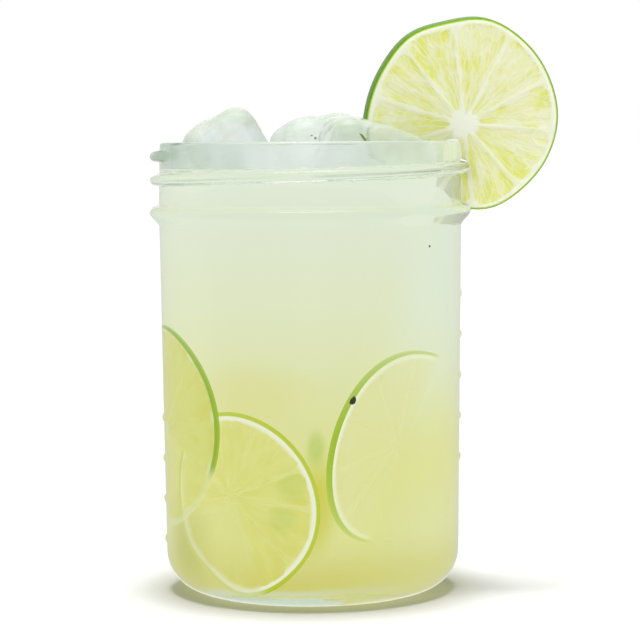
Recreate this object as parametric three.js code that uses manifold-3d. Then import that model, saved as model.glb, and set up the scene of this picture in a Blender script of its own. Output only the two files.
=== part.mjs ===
// A margarita in a wide-mouthed pint preserving jar, with ice and a lime wheel on the rim.
// Millimetres, +Z up. The jar stands on Z = 0 with its axis on Z, and is seen from -Y.

import * as THREE from "three";
import { mergeVertices } from "three/addons/utils/BufferGeometryUtils.js";
import Module from "manifold-3d";

const wasm = await Module();
wasm.setup();

const degrees = THREE.MathUtils.degToRad;

// Clearance between neighbouring solids.
const GAP = 0.3;
const AROUND = 64;

// The glass jar.
const RIM_HEIGHT = 121;
const RIM_RADIUS = 40.4;
const LIP_ROUNDING = 0.9;
const NECK_RADIUS = 40.8;
const SHOULDER_RADIUS = 40.7;
const SHOULDER_HEIGHT = 96;
const FOOT_RADIUS = 39.7;
const HEEL_ROUNDING = 11;
const RING_INNER_RADIUS = 25;
const RECESS_RADIUS = 23.5;
const RECESS_DEPTH = 0.6;
const BASE_THICKNESS = 4;
const WALL = 2.8;
const NECK_BORE = 37.1;
const INNER_HEEL_ROUNDING = 7;
const INNER_TAPER_START = SHOULDER_HEIGHT - 4;
const INNER_TAPER_END = SHOULDER_HEIGHT + 5;
const HEEL_STEPS = 7;
const LIP_STEPS = 3;

// The raised ring under the screw thread.
const BEAD_HEIGHT = 102;
const BEAD_RADIUS = 43.3;
const BEAD_FOOT = 3.4;
const BEAD_HEAD = 2.4;
const BEAD_CREST = [
  { inset: 0.6, rise: -1.1 },
  { inset: 0, rise: -0.2 },
  { inset: 0.1, rise: 0.7 },
  { inset: 0.9, rise: 1.6 },
];

// The right-handed screw thread, by the heights at which it passes the left side.
const THREAD_RADIUS = 43.1;
const THREAD_SECTION = 1.45;
const THREAD_PITCH = 6.35;
const THREAD_LEFT_HEIGHT = 110.8;
const THREAD_START = -140;
const THREAD_END = 295;
const THREAD_RUN_OUT = 14;
const THREAD_STEP = 7.5;
const THREAD_SINK = 0.15;
const THREAD_SECTION_STEPS = 5;

// Plain raised fill-level bars on both sides.
const BAR_LENGTH = 13;
const BAR_WIDTH = 2.4;
const BAR_RISE = 0.4;
const BAR_CREST_SHARE = 0.4;
const BAR_ROOT = 1;
const BAR_WINDOW = 12;
const BAR_SPACING = 11;
const BARS = [
  { side: -1, lowest: 14, count: 4 },
  { side: 1, lowest: 36, count: 5 },
];

// The drink and what stands in it.
const DRINK_LEVEL = 113.5;
const ICE_DETAIL = 5;
const HOLLOWS = { across: [5, 0, 3], along: [-3, 4, 0] };
const ICE_LUMPS = [
  {
    name: "ice_left",
    centre: [-20.8, -2.5, 116.6],
    half: [10.7, 11, 12.6],
    turn: [4, -29, 6],
    squareness: 4.2,
    melt: 0.03,
    phase: 0.4,
  },
  {
    name: "ice_middle",
    centre: [2.8, 15.5, 115.3],
    half: [13.4, 10.5, 13],
    turn: [-6, -7, -9],
    squareness: 3.7,
    melt: 0.04,
    phase: 2.1,
  },
  {
    name: "ice_right",
    centre: [15.7, -15.6, 114.3],
    half: [15.1, 8.4, 11.9],
    turn: [5, 15, 9],
    squareness: 4.4,
    melt: 0.035,
    phase: 4.6,
  },
];

// The lime wheel on the rim: slit from below, astride the wall at the right-hand side.
const WHEEL_RADIUS = 26.4;
const WHEEL_THICKNESS = 5;
const WHEEL_CENTRE = [40.6, 0, 127.6];
const WHEEL_YAW = 9;
const WHEEL_TILT = 8;
const WHEEL_AROUND = 80;
const RIND_ROUNDING = 0.7;
const RIND_STEPS = 2;
const WHEEL_WAVES = [
  { share: 0.0125, times: 1, peak: -67 },
  { share: 0.01, times: 2, peak: 109 },
  { share: 0.0097, times: 3, peak: -92 },
  { share: 0.0055, times: 5, peak: -38 },
  { share: 0.0081, times: 6, peak: 30 },
  { share: 0.0069, times: 7, peak: -139 },
  { share: 0.0038, times: 8, peak: 165 },
  { share: 0.0049, times: 9, peak: 13 },
];
const FLAT_FOOT = { angle: 268, share: 0.05, sharpness: 14 };

// Turns a closed three.js geometry into a solid that can be joined or cut.
function solidOf(geometry) {
  const bare = geometry.index ? geometry.toNonIndexed() : geometry.clone();
  for (const name of Object.keys(bare.attributes)) {
    if (name !== "position") bare.deleteAttribute(name);
  }
  const merged = mergeVertices(bare, 1e-4);
  return new wasm.Manifold(new wasm.Mesh({
    numProp: 3,
    vertProperties: new Float32Array(merged.attributes.position.array),
    triVerts: new Uint32Array(merged.index.array),
  }));
}

// Turns a solid back into a three.js geometry.
function geometryOf(solid) {
  const mesh = solid.getMesh();
  const geometry = new THREE.BufferGeometry();
  geometry.setAttribute("position", new THREE.BufferAttribute(mesh.vertProperties, 3));
  geometry.setIndex(new THREE.BufferAttribute(mesh.triVerts, 1));
  geometry.computeVertexNormals();
  return geometry;
}

// Points of a round corner about a centre in the radius-height plane, between two angles in degrees.
function corner(radius, height, rounding, from, to, steps) {
  const points = [];
  for (let i = 0; i <= steps; i += 1) {
    const angle = degrees(from + ((to - from) * i) / steps);
    points.push([radius + rounding * Math.cos(angle), height + rounding * Math.sin(angle)]);
  }
  return points;
}

// Spins a closed profile of [radius, height] points about the Z axis.
function spun(profile) {
  const points = profile.map(([radius, height]) => new THREE.Vector2(radius, height));
  const geometry = new THREE.LatheGeometry(points, AROUND);
  geometry.rotateX(degrees(90));
  return solidOf(geometry);
}

// Outer form of the jar, filled, with every radius grown by the given amount.
function jarOutside(growth) {
  const heel = corner(FOOT_RADIUS - HEEL_ROUNDING, HEEL_ROUNDING, HEEL_ROUNDING, -90, 0, HEEL_STEPS);
  const lip = corner(
    RIM_RADIUS - LIP_ROUNDING, RIM_HEIGHT - LIP_ROUNDING, LIP_ROUNDING, 0, 90, LIP_STEPS);
  const crest = BEAD_CREST.map(({ inset, rise }) => [BEAD_RADIUS - inset, BEAD_HEIGHT + rise]);
  const profile = [
    [0, RECESS_DEPTH],
    [RECESS_RADIUS, RECESS_DEPTH],
    [RING_INNER_RADIUS, 0],
    ...heel,
    [SHOULDER_RADIUS, SHOULDER_HEIGHT],
    [NECK_RADIUS, BEAD_HEIGHT - BEAD_FOOT],
    ...crest,
    [NECK_RADIUS, BEAD_HEIGHT + BEAD_HEAD],
    ...lip,
    [0, RIM_HEIGHT],
  ];
  const top = RIM_HEIGHT + growth;
  return spun(profile.map(([radius, height]) => [
    radius === 0 ? 0 : radius + growth,
    height === RIM_HEIGHT ? top : height,
  ]));
}

// Inner form of the jar, with every wall moved inwards by the given amount, up to a height.
function jarInside(shrink, top) {
  const bore = FOOT_RADIUS - WALL - shrink;
  const floor = BASE_THICKNESS + shrink;
  const neck = NECK_BORE - shrink;
  const rounding = INNER_HEEL_ROUNDING;
  const profile = [
    [0, floor],
    ...corner(bore - rounding, floor + rounding, rounding, -90, 0, HEEL_STEPS),
    [SHOULDER_RADIUS - WALL - shrink, INNER_TAPER_START],
    [neck, INNER_TAPER_END],
  ];
  if (top > RIM_HEIGHT) {
    const edge = LIP_ROUNDING;
    profile.push(...corner(neck + edge, RIM_HEIGHT - edge, edge, 180, 90, LIP_STEPS));
    profile.push([neck + LIP_ROUNDING, top]);
  } else {
    profile.push([neck, top]);
  }
  profile.push([0, top]);
  return spun(profile);
}

// The helix that the thread's round section follows, sinking into the neck at both ends.
class ThreadPath extends THREE.Curve {
  constructor(growth) {
    super();
    this.growth = growth;
  }

  getPoint(t, target = new THREE.Vector3()) {
    const turn = THREAD_START + (THREAD_END - THREAD_START) * t;
    const fromEnd = Math.min(turn - THREAD_START, THREAD_END - turn);
    const sunk = Math.max(0, 1 - fromEnd / THREAD_RUN_OUT) ** 2;
    const crest = THREAD_RADIUS + this.growth;
    const section = THREAD_SECTION + this.growth;
    const radius = crest - section - sunk * (crest - NECK_RADIUS + THREAD_SINK);
    const height = THREAD_LEFT_HEIGHT + (THREAD_PITCH * (turn + 90)) / 360;
    const angle = degrees(turn - 90);
    return target.set(radius * Math.cos(angle), radius * Math.sin(angle), height);
  }
}

function screwThread(growth) {
  const section = new THREE.Shape();
  section.absarc(0, 0, THREAD_SECTION + growth, 0, Math.PI * 2);
  const steps = Math.round((THREAD_END - THREAD_START) / THREAD_STEP);
  return solidOf(new THREE.ExtrudeGeometry(section, {
    steps,
    curveSegments: THREAD_SECTION_STEPS,
    bevelEnabled: false,
    extrudePath: new ThreadPath(growth),
  }));
}

// One fill-level bar: a short stretch of a ring that follows the wall.
function levelBar(side, height) {
  const wall = THREE.MathUtils.mapLinear(
    height, HEEL_ROUNDING, SHOULDER_HEIGHT, FOOT_RADIUS, SHOULDER_RADIUS);
  const half = BAR_WIDTH / 2;
  const crest = half * BAR_CREST_SHARE;
  const root = wall - BAR_ROOT;
  const ring = spun([
    [root, height - half],
    [wall, height - half],
    [wall + BAR_RISE, height - crest],
    [wall + BAR_RISE, height + crest],
    [wall, height + half],
    [root, height + half],
    [root, height - half],
  ]);
  const window = new THREE.BoxGeometry(BAR_WINDOW, BAR_LENGTH, BAR_WIDTH * 2);
  window.translate(side * wall, 0, height);
  return ring.intersect(solidOf(window));
}

function makeJar() {
  let jar = jarOutside(0).add(screwThread(0));
  for (const { side, lowest, count } of BARS) {
    for (let i = 0; i < count; i += 1) {
      jar = jar.add(levelBar(side, lowest + i * BAR_SPACING));
    }
  }
  return jar.subtract(jarInside(0, RIM_HEIGHT + 2));
}

// A melted lump of ice: a rounded box with soft hollows, grown by the given amount.
function iceLump({ centre, half, turn, squareness, melt, phase }, growth) {
  const geometry = new THREE.IcosahedronGeometry(1, ICE_DETAIL);
  const position = geometry.attributes.position;
  const way = new THREE.Vector3();
  const across = new THREE.Vector3(...HOLLOWS.across);
  const along = new THREE.Vector3(...HOLLOWS.along);
  for (let i = 0; i < position.count; i += 1) {
    way.fromBufferAttribute(position, i).normalize();
    const reach = (Math.abs(way.x / half[0]) ** squareness
      + Math.abs(way.y / half[1]) ** squareness
      + Math.abs(way.z / half[2]) ** squareness) ** (-1 / squareness);
    const hollow = Math.sin(way.dot(across) + phase) * Math.sin(way.dot(along) + 2 * phase);
    way.multiplyScalar(reach * (1 - melt + melt * hollow) + growth);
    position.setXYZ(i, way.x, way.y, way.z);
  }
  geometry.rotateX(degrees(turn[0]));
  geometry.rotateY(degrees(turn[1]));
  geometry.rotateZ(degrees(turn[2]));
  geometry.translate(...centre);
  return solidOf(geometry);
}

// Radius of the lime wheel's outline, a little out of round as a cut lime is.
function wheelRadius(angle) {
  let share = 1;
  for (const wave of WHEEL_WAVES) {
    share += wave.share * Math.cos(wave.times * angle - degrees(wave.peak));
  }
  const towardsFoot = Math.max(0, Math.cos(angle - degrees(FLAT_FOOT.angle)));
  return WHEEL_RADIUS * (share - FLAT_FOOT.share * towardsFoot ** FLAT_FOOT.sharpness);
}

// The whole lime wheel before it is slit, grown by the given amount.
function wheelDisc(growth) {
  const outline = new THREE.Shape();
  for (let i = 0; i < WHEEL_AROUND; i += 1) {
    const angle = (i / WHEEL_AROUND) * Math.PI * 2;
    const radius = wheelRadius(angle) - RIND_ROUNDING + growth;
    const x = radius * Math.cos(angle);
    const y = radius * Math.sin(angle);
    if (i === 0) outline.moveTo(x, y);
    else outline.lineTo(x, y);
  }
  outline.closePath();
  const depth = WHEEL_THICKNESS - 2 * RIND_ROUNDING + 2 * growth;
  const geometry = new THREE.ExtrudeGeometry(outline, {
    depth,
    bevelThickness: RIND_ROUNDING,
    bevelSize: RIND_ROUNDING,
    bevelSegments: RIND_STEPS,
  });
  geometry.translate(0, 0, -depth / 2);
  geometry.rotateX(degrees(90 + WHEEL_TILT));
  geometry.rotateZ(degrees(WHEEL_YAW));
  geometry.translate(...WHEEL_CENTRE);
  return solidOf(geometry);
}

function makeWheel() {
  const wall = jarOutside(GAP).add(screwThread(GAP)).subtract(jarInside(GAP, RIM_HEIGHT + 2));
  return wheelDisc(0).subtract(wall);
}

function makeDrink() {
  let drink = jarInside(GAP, DRINK_LEVEL).subtract(wheelDisc(GAP));
  for (const lump of ICE_LUMPS) {
    drink = drink.subtract(iceLump(lump, GAP));
  }
  return drink;
}

function named(name, solid, colour, roughness) {
  const material = new THREE.MeshStandardMaterial({ color: colour, roughness, metalness: 0 });
  const mesh = new THREE.Mesh(geometryOf(solid), material);
  mesh.name = name;
  return mesh;
}

const margarita = new THREE.Group();
margarita.add(named("jar", makeJar(), 0xdfe9e2, 0.05));
margarita.add(named("drink", makeDrink(), 0xdee2b4, 0.2));
for (const lump of ICE_LUMPS) {
  margarita.add(named(lump.name, iceLump(lump, 0), 0xe0ebe0, 0.15));
}
margarita.add(named("lime_wheel_rim", makeWheel(), 0xd9e57e, 0.4));

export default margarita;
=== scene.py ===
"""A margarita in a wide-mouthed glass jar, with ice, sunken lime wheels and a lime wheel on the rim."""

import logging
import math
from dataclasses import dataclass, field, replace
from enum import Enum
from typing import Any, Callable, Sequence

import bpy
import numpy as np
from mathutils import Matrix, Vector

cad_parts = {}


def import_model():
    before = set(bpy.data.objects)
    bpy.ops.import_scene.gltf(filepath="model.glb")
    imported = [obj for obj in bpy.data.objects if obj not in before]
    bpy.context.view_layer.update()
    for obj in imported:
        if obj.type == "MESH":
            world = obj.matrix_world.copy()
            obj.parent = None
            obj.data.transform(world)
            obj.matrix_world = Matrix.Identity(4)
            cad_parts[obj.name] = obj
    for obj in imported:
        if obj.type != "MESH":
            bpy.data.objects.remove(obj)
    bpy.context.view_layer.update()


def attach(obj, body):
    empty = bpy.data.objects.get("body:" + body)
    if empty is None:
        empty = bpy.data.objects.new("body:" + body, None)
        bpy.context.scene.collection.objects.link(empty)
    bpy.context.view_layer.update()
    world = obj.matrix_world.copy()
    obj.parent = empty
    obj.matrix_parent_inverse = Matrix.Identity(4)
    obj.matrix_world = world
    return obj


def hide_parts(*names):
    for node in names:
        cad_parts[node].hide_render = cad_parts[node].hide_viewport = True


LOG = logging.getLogger("margarita")
MM = 0.001
BODY = "root"

Colour = tuple[float, float, float, float]
Profile = list[tuple[float, float]]


def tone(red: float, green: float, blue: float) -> Colour:
    """The linear colour of a display colour whose parts run from 0 to 255."""
    parts = []
    for part in (red, green, blue):
        share = part / 255
        parts.append(share / 12.92 if share <= 0.04045 else ((share + 0.055) / 1.055) ** 2.4)
    return (parts[0], parts[1], parts[2], 1.0)


class Nodes:
    """Short calls that place and join nodes in one node tree."""

    def __init__(self, tree: bpy.types.NodeTree) -> None:
        """Works on the given tree."""
        self.tree = tree

    def add(self, kind: str, **settings: Any) -> bpy.types.Node:
        """Places a node.

        Args:
            kind: the node's type, without the leading ShaderNode.
            settings: properties to set on it.

        Returns:
            The new node.
        """
        node = self.tree.nodes.new("ShaderNode" + kind)
        for name, value in settings.items():
            setattr(node, name, value)
        return node

    def feed(self, socket: bpy.types.NodeSocket, value: Any) -> None:
        """Joins another node's output to a socket, or sets the socket's own value."""
        if isinstance(value, bpy.types.NodeSocket):
            self.tree.links.new(value, socket)
        else:
            socket.default_value = value

    def maths(self, operation: str, *values: Any) -> bpy.types.NodeSocket:
        """A Math node.

        Args:
            operation: the node's operation.
            values: its inputs, numbers or sockets.

        Returns:
            Its output.
        """
        node = self.add("Math", operation=operation)
        for socket, value in zip(node.inputs, values):
            self.feed(socket, value)
        return node.outputs[0]

    def step(self, value: Any, low: float, high: float, start: float = 0.0,
             end: float = 1.0) -> bpy.types.NodeSocket:
        """A smooth step.

        Args:
            value: what is measured.
            low: where the step starts.
            high: where it ends.
            start: the result before it.
            end: the result after it.

        Returns:
            The output socket.
        """
        node = self.add("MapRange", interpolation_type="SMOOTHSTEP")
        for name, given in (("Value", value), ("From Min", low), ("From Max", high),
                            ("To Min", start), ("To Max", end)):
            self.feed(node.inputs[name], given)
        return node.outputs["Result"]

    def blend(self, share: Any, first: Any, second: Any, mode: str = "MIX") -> bpy.types.NodeSocket:
        """Mixes two colours.

        Args:
            share: how much of the second, from 0 to 1.
            first: the colour at share 0.
            second: the colour at share 1.
            mode: the blend mode.

        Returns:
            The mixed colour's socket.
        """
        node = self.add("Mix", data_type="RGBA", blend_type=mode)
        self.feed(node.inputs[0], share)
        self.feed(node.inputs[6], first)
        self.feed(node.inputs[7], second)
        return node.outputs[2]

    def noise(self, place: Any, scale: float, detail: float = 2.0, roughness: float = 0.5,
              distortion: float = 0.0) -> bpy.types.NodeSocket:
        """A noise's value, which runs from 0 to 1.

        Args:
            place: the coordinates' socket.
            scale: how fine the noise is.
            detail: octaves.
            roughness: strength of the finer octaves.
            distortion: how much it swirls.

        Returns:
            The value's socket.
        """
        node = self.add("TexNoise")
        for name, given in (("Vector", place), ("Scale", scale), ("Detail", detail),
                            ("Roughness", roughness), ("Distortion", distortion)):
            self.feed(node.inputs[name], given)
        return node.outputs["Fac"]

    def scaled(self, place: Any, scale: Sequence[float]) -> bpy.types.NodeSocket:
        """A vector times another, part by part."""
        node = self.add("VectorMath", operation="MULTIPLY")
        self.feed(node.inputs[0], place)
        node.inputs[1].default_value = scale
        return node.outputs[0]

    def attribute(self, name: str) -> bpy.types.Node:
        """The node that reads a mesh attribute."""
        return self.add("Attribute", attribute_name=name)

    def part(self, place: Any, axis: str) -> bpy.types.NodeSocket:
        """One part of a vector, X, Y or Z."""
        split = self.add("SeparateXYZ")
        self.feed(split.inputs[0], place)
        return split.outputs[axis]

    def bumped(self, height: Any, strength: float, distance: float) -> bpy.types.NodeSocket:
        """A normal bent by a height, over a distance in metres."""
        bump = self.add("Bump")
        for name, given in (("Height", height), ("Strength", strength), ("Distance", distance)):
            self.feed(bump.inputs[name], given)
        return bump.outputs[0]

    def principled(self, values: dict[str, Any]) -> bpy.types.Node:
        """A Principled shader with values for its sockets."""
        surface = self.add("BsdfPrincipled")
        for name, given in values.items():
            self.feed(surface.inputs[name], given)
        return surface

    def one_less(self, value: Any) -> bpy.types.NodeSocket:
        """One minus a value."""
        return self.maths("SUBTRACT", 1.0, value)

    def effect(self, tree: bpy.types.NodeTree, **values: Any) -> bpy.types.Node:
        """Places a shared effect.

        Args:
            tree: the effect's node group.
            values: its inputs, by their names with a low line for each space.

        Returns:
            The group's node.
        """
        node = self.add("Group", node_tree=tree)
        for name, value in values.items():
            self.feed(node.inputs[name.replace("_", " ").title()], value)
        return node

    def here(self) -> bpy.types.NodeSocket:
        """Object coordinates, in metres."""
        return self.add("TexCoord").outputs["Object"]


def shared_effect(name: str, colours: Sequence[str], numbers: Sequence[str],
                  results: dict[str, str]) -> tuple[Nodes, bpy.types.Node, bpy.types.Node]:
    """Starts a node group for an effect that more than one material uses.

    Args:
        name: the group's name.
        colours: names of its colour inputs.
        numbers: names of its number inputs.
        results: names of its outputs, each with the kind of its socket, Color or Float.

    Returns:
        The group's nodes, its input node and its output node.
    """
    tree = bpy.data.node_groups.new(name, "ShaderNodeTree")
    for names, kind in ((colours, "NodeSocketColor"), (numbers, "NodeSocketFloat")):
        for given in names:
            tree.interface.new_socket(given, in_out="INPUT", socket_type=kind)
    for result, kind in results.items():
        tree.interface.new_socket(result, in_out="OUTPUT", socket_type="NodeSocket" + kind)
    return Nodes(tree), tree.nodes.new("NodeGroupInput"), tree.nodes.new("NodeGroupOutput")


def new_material(name: str) -> tuple[bpy.types.Material, Nodes, bpy.types.Node]:
    """Starts a material.

    Args:
        name: the material's name.

    Returns:
        The material, its nodes and its output node.
    """
    material = bpy.data.materials.new(name)
    material.use_nodes = True
    material.node_tree.nodes.clear()
    nodes = Nodes(material.node_tree)
    return material, nodes, nodes.add("OutputMaterial")


def let_lamps_through(nodes: Nodes, surface: bpy.types.NodeSocket, tint: Any) -> bpy.types.NodeSocket:
    """Lets light from the lamps pass a clear surface.

    Args:
        nodes: the material's nodes.
        surface: the clear surface's shader.
        tint: the share of the light that passes, a colour or a socket.

    Returns:
        The mixed shader's socket.
    """
    path = nodes.add("LightPath")
    clear = nodes.add("BsdfTransparent")
    nodes.feed(clear.inputs["Color"], tint)
    mixed = nodes.add("MixShader")
    nodes.feed(mixed.inputs[0], path.outputs["Is Shadow Ray"])
    nodes.feed(mixed.inputs[1], surface)
    nodes.feed(mixed.inputs[2], clear.outputs[0])
    return mixed.outputs[0]


def deselect() -> None:
    """Leaves nothing selected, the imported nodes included."""
    for thing in bpy.context.selected_objects:
        thing.select_set(False)
    bpy.context.view_layer.objects.active = None


def activate(piece: bpy.types.Object) -> None:
    """Selects one piece alone."""
    deselect()
    piece.select_set(True)
    bpy.context.view_layer.objects.active = piece


def edited(piece: bpy.types.Object, *steps: Callable[[], Any]) -> None:
    """Runs operators in edit mode on all of a piece's mesh."""
    activate(piece)
    bpy.ops.object.mode_set(mode="EDIT")
    for step in steps:
        bpy.ops.mesh.select_all(action="SELECT")
        step()
    bpy.ops.object.mode_set(mode="OBJECT")


def points_of(piece: bpy.types.Object) -> np.ndarray:
    """A piece's vertices in millimetres, one row each."""
    flat = np.empty(len(piece.data.vertices) * 3, np.float32)
    piece.data.vertices.foreach_get("co", flat)
    return flat.reshape(-1, 3).astype(float) / MM


def put_points(piece: bpy.types.Object, points: np.ndarray) -> None:
    """Moves a piece's vertices to places in millimetres."""
    piece.data.vertices.foreach_set("co", (points * MM).astype(np.float32).ravel())
    piece.data.update()


def mark_faces(piece: bpy.types.Object, name: str,
               chosen: Callable[[np.ndarray, np.ndarray], np.ndarray]) -> None:
    """Writes 1 on the chosen faces and 0 on the others.

    Args:
        piece: the piece.
        name: the attribute's name.
        chosen: tells, from the faces' middles in millimetres and their normals, which ones count.
    """
    faces = piece.data.polygons
    middles, normals = np.empty(len(faces) * 3, np.float32), np.empty(len(faces) * 3, np.float32)
    faces.foreach_get("center", middles)
    faces.foreach_get("normal", normals)
    marks = chosen(middles.reshape(-1, 3) / MM, normals.reshape(-1, 3)).astype(np.float32)
    piece.data.attributes.new(name, "FLOAT", "FACE").data.foreach_set("value", marks)


def spun(name: str, profile: Profile, around: int, closed: bool = False) -> bpy.types.Object:
    """Spins a profile about the Z axis.

    Args:
        name: the new piece's name.
        profile: points of radius and height in millimetres.
        around: how many steps go round.
        closed: True for a ring, False for a profile with both ends on the axis.

    Returns:
        The piece, in metres, with its faces pointing outwards.
    """
    deselect()
    bpy.ops.mesh.primitive_circle_add(vertices=len(profile), radius=1.0, fill_type="NOTHING")
    piece = bpy.context.object
    piece.name = name
    piece.data.name = name
    put_points(piece, np.array([(radius, 0.0, height) for radius, height in profile]))
    if not closed:
        for vertex in piece.data.vertices:
            vertex.select = vertex.index in (0, len(profile) - 1)
        for edge in piece.data.edges:
            edge.select = set(edge.vertices) == {0, len(profile) - 1}
        bpy.ops.object.mode_set(mode="EDIT")
        bpy.ops.mesh.select_mode(type="EDGE")
        bpy.ops.mesh.delete(type="EDGE")
        bpy.ops.mesh.select_mode(type="VERT")
        bpy.ops.object.mode_set(mode="OBJECT")
    edited(
        piece,
        lambda: bpy.ops.mesh.spin(steps=around, angle=math.tau, center=(0, 0, 0), axis=(0, 0, 1)),
        lambda: bpy.ops.mesh.remove_doubles(threshold=1e-7),
        lambda: bpy.ops.mesh.normals_make_consistent(inside=False),
    )
    return piece


def smoothed(piece: bpy.types.Object, angle: float = 35.0) -> None:
    """Shades a piece smoothly, apart from edges sharper than an angle in degrees."""
    activate(piece)
    bpy.ops.object.shade_smooth_by_angle(angle=math.radians(angle))


def cut(piece: bpy.types.Object, cutters: Sequence[bpy.types.Object]) -> None:
    """Takes the cutters' forms out of a piece and removes the cutters."""
    for cutter in cutters:
        activate(piece)
        modifier = piece.modifiers.new("cut", "BOOLEAN")
        modifier.operation = "DIFFERENCE"
        modifier.solver = "EXACT"
        modifier.object = cutter
        bpy.ops.object.modifier_apply(modifier=modifier.name)
        bpy.data.objects.remove(cutter)


def dress(piece: bpy.types.Object, finish: bpy.types.Material) -> None:
    """Gives a piece one material all over."""
    piece.data.materials.clear()
    piece.data.materials.append(finish)


def hand_over(piece: bpy.types.Object, slot: str, *nodes: str) -> None:
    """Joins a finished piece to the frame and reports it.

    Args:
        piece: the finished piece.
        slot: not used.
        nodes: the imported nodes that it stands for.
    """
    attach(piece, BODY)
    if nodes:
        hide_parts(*nodes)
    LOG.info("%s: %d faces", piece.name, len(piece.data.polygons))


def corner(radius: float, height: float, rounding: float, start: float, end: float,
           steps: int) -> Profile:
    """Points of a round corner.

    Args:
        radius: the corner's centre, from the axis.
        height: the corner's centre, from the ground.
        rounding: its own radius.
        start: first angle in degrees, 0 outwards and 90 up.
        end: last angle.
        steps: how many stretches it has.

    Returns:
        The points, both ends included.
    """
    angles = [math.radians(start + (end - start) * i / steps) for i in range(steps + 1)]
    return [(radius + rounding * math.cos(a), height + rounding * math.sin(a)) for a in angles]


def smooth_least(first: np.ndarray, second: np.ndarray, width: float) -> np.ndarray:
    """The lesser of two distances, with the corner between them rounded over a width."""
    overlap = np.clip(width - np.abs(first - second), 0, None) / width
    return np.minimum(first, second) - overlap ** 2 * width / 4


def eased(share: np.ndarray) -> np.ndarray:
    """A smooth step of values clipped to 0 to 1."""
    share = np.clip(share, 0, 1)
    return share * share * (3 - 2 * share)


class Side(Enum):
    """The jar's two embossed sides."""

    LEFT = -1
    RIGHT = 1


@dataclass(frozen=True)
class LevelBars:
    """A column of short raised bars on one side of the jar."""

    side: Side
    lowest: float
    count: int


@dataclass(frozen=True)
class GlassFinish:
    """Clear pressed glass. Where the drink wets it, the drink's own skin does the bending of light."""

    body: Colour = (0.985, 0.995, 0.99, 1.0)
    wall_tint: Colour = (0.95, 0.97, 0.96, 1.0)
    end_tint: Colour = (0.12, 0.13, 0.125, 1.0)
    soaked_up: Colour = (0.55, 0.72, 0.62, 1.0)
    density: float = 14.0
    ripple: float = 0.05
    ripple_scale: float = 55.0
    ior: float = 1.5

    def material(self) -> bpy.types.Material:
        """Makes the material."""
        material, nodes, output = new_material("clear_pressed_glass")
        glass = nodes.principled({
            "Base Color": self.body, "Roughness": 0.0, "IOR": self.ior, "Transmission Weight": 1.0,
            "Normal": nodes.bumped(nodes.noise(nodes.here(), self.ripple_scale), self.ripple, 0.001)})
        soaks = nodes.add("VolumeAbsorption")
        nodes.feed(soaks.inputs["Color"], self.soaked_up)
        nodes.feed(soaks.inputs["Density"], self.density)
        open_way = nodes.add("BsdfTransparent")
        wall = nodes.add("MixShader")
        nodes.feed(wall.inputs[0], nodes.attribute("wetted").outputs["Fac"])
        nodes.feed(wall.inputs[1], glass.outputs[0])
        nodes.feed(wall.inputs[2], open_way.outputs[0])
        facing = nodes.part(nodes.add("NewGeometry").outputs["Normal"], "Z")
        level = nodes.step(nodes.maths("ABSOLUTE", facing), 0.15, 0.5)
        tint = nodes.blend(level, self.wall_tint, self.end_tint)
        nodes.feed(output.inputs["Surface"], let_lamps_through(nodes, wall.outputs[0], tint))
        nodes.feed(output.inputs["Volume"], soaks.outputs[0])
        return material


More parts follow.
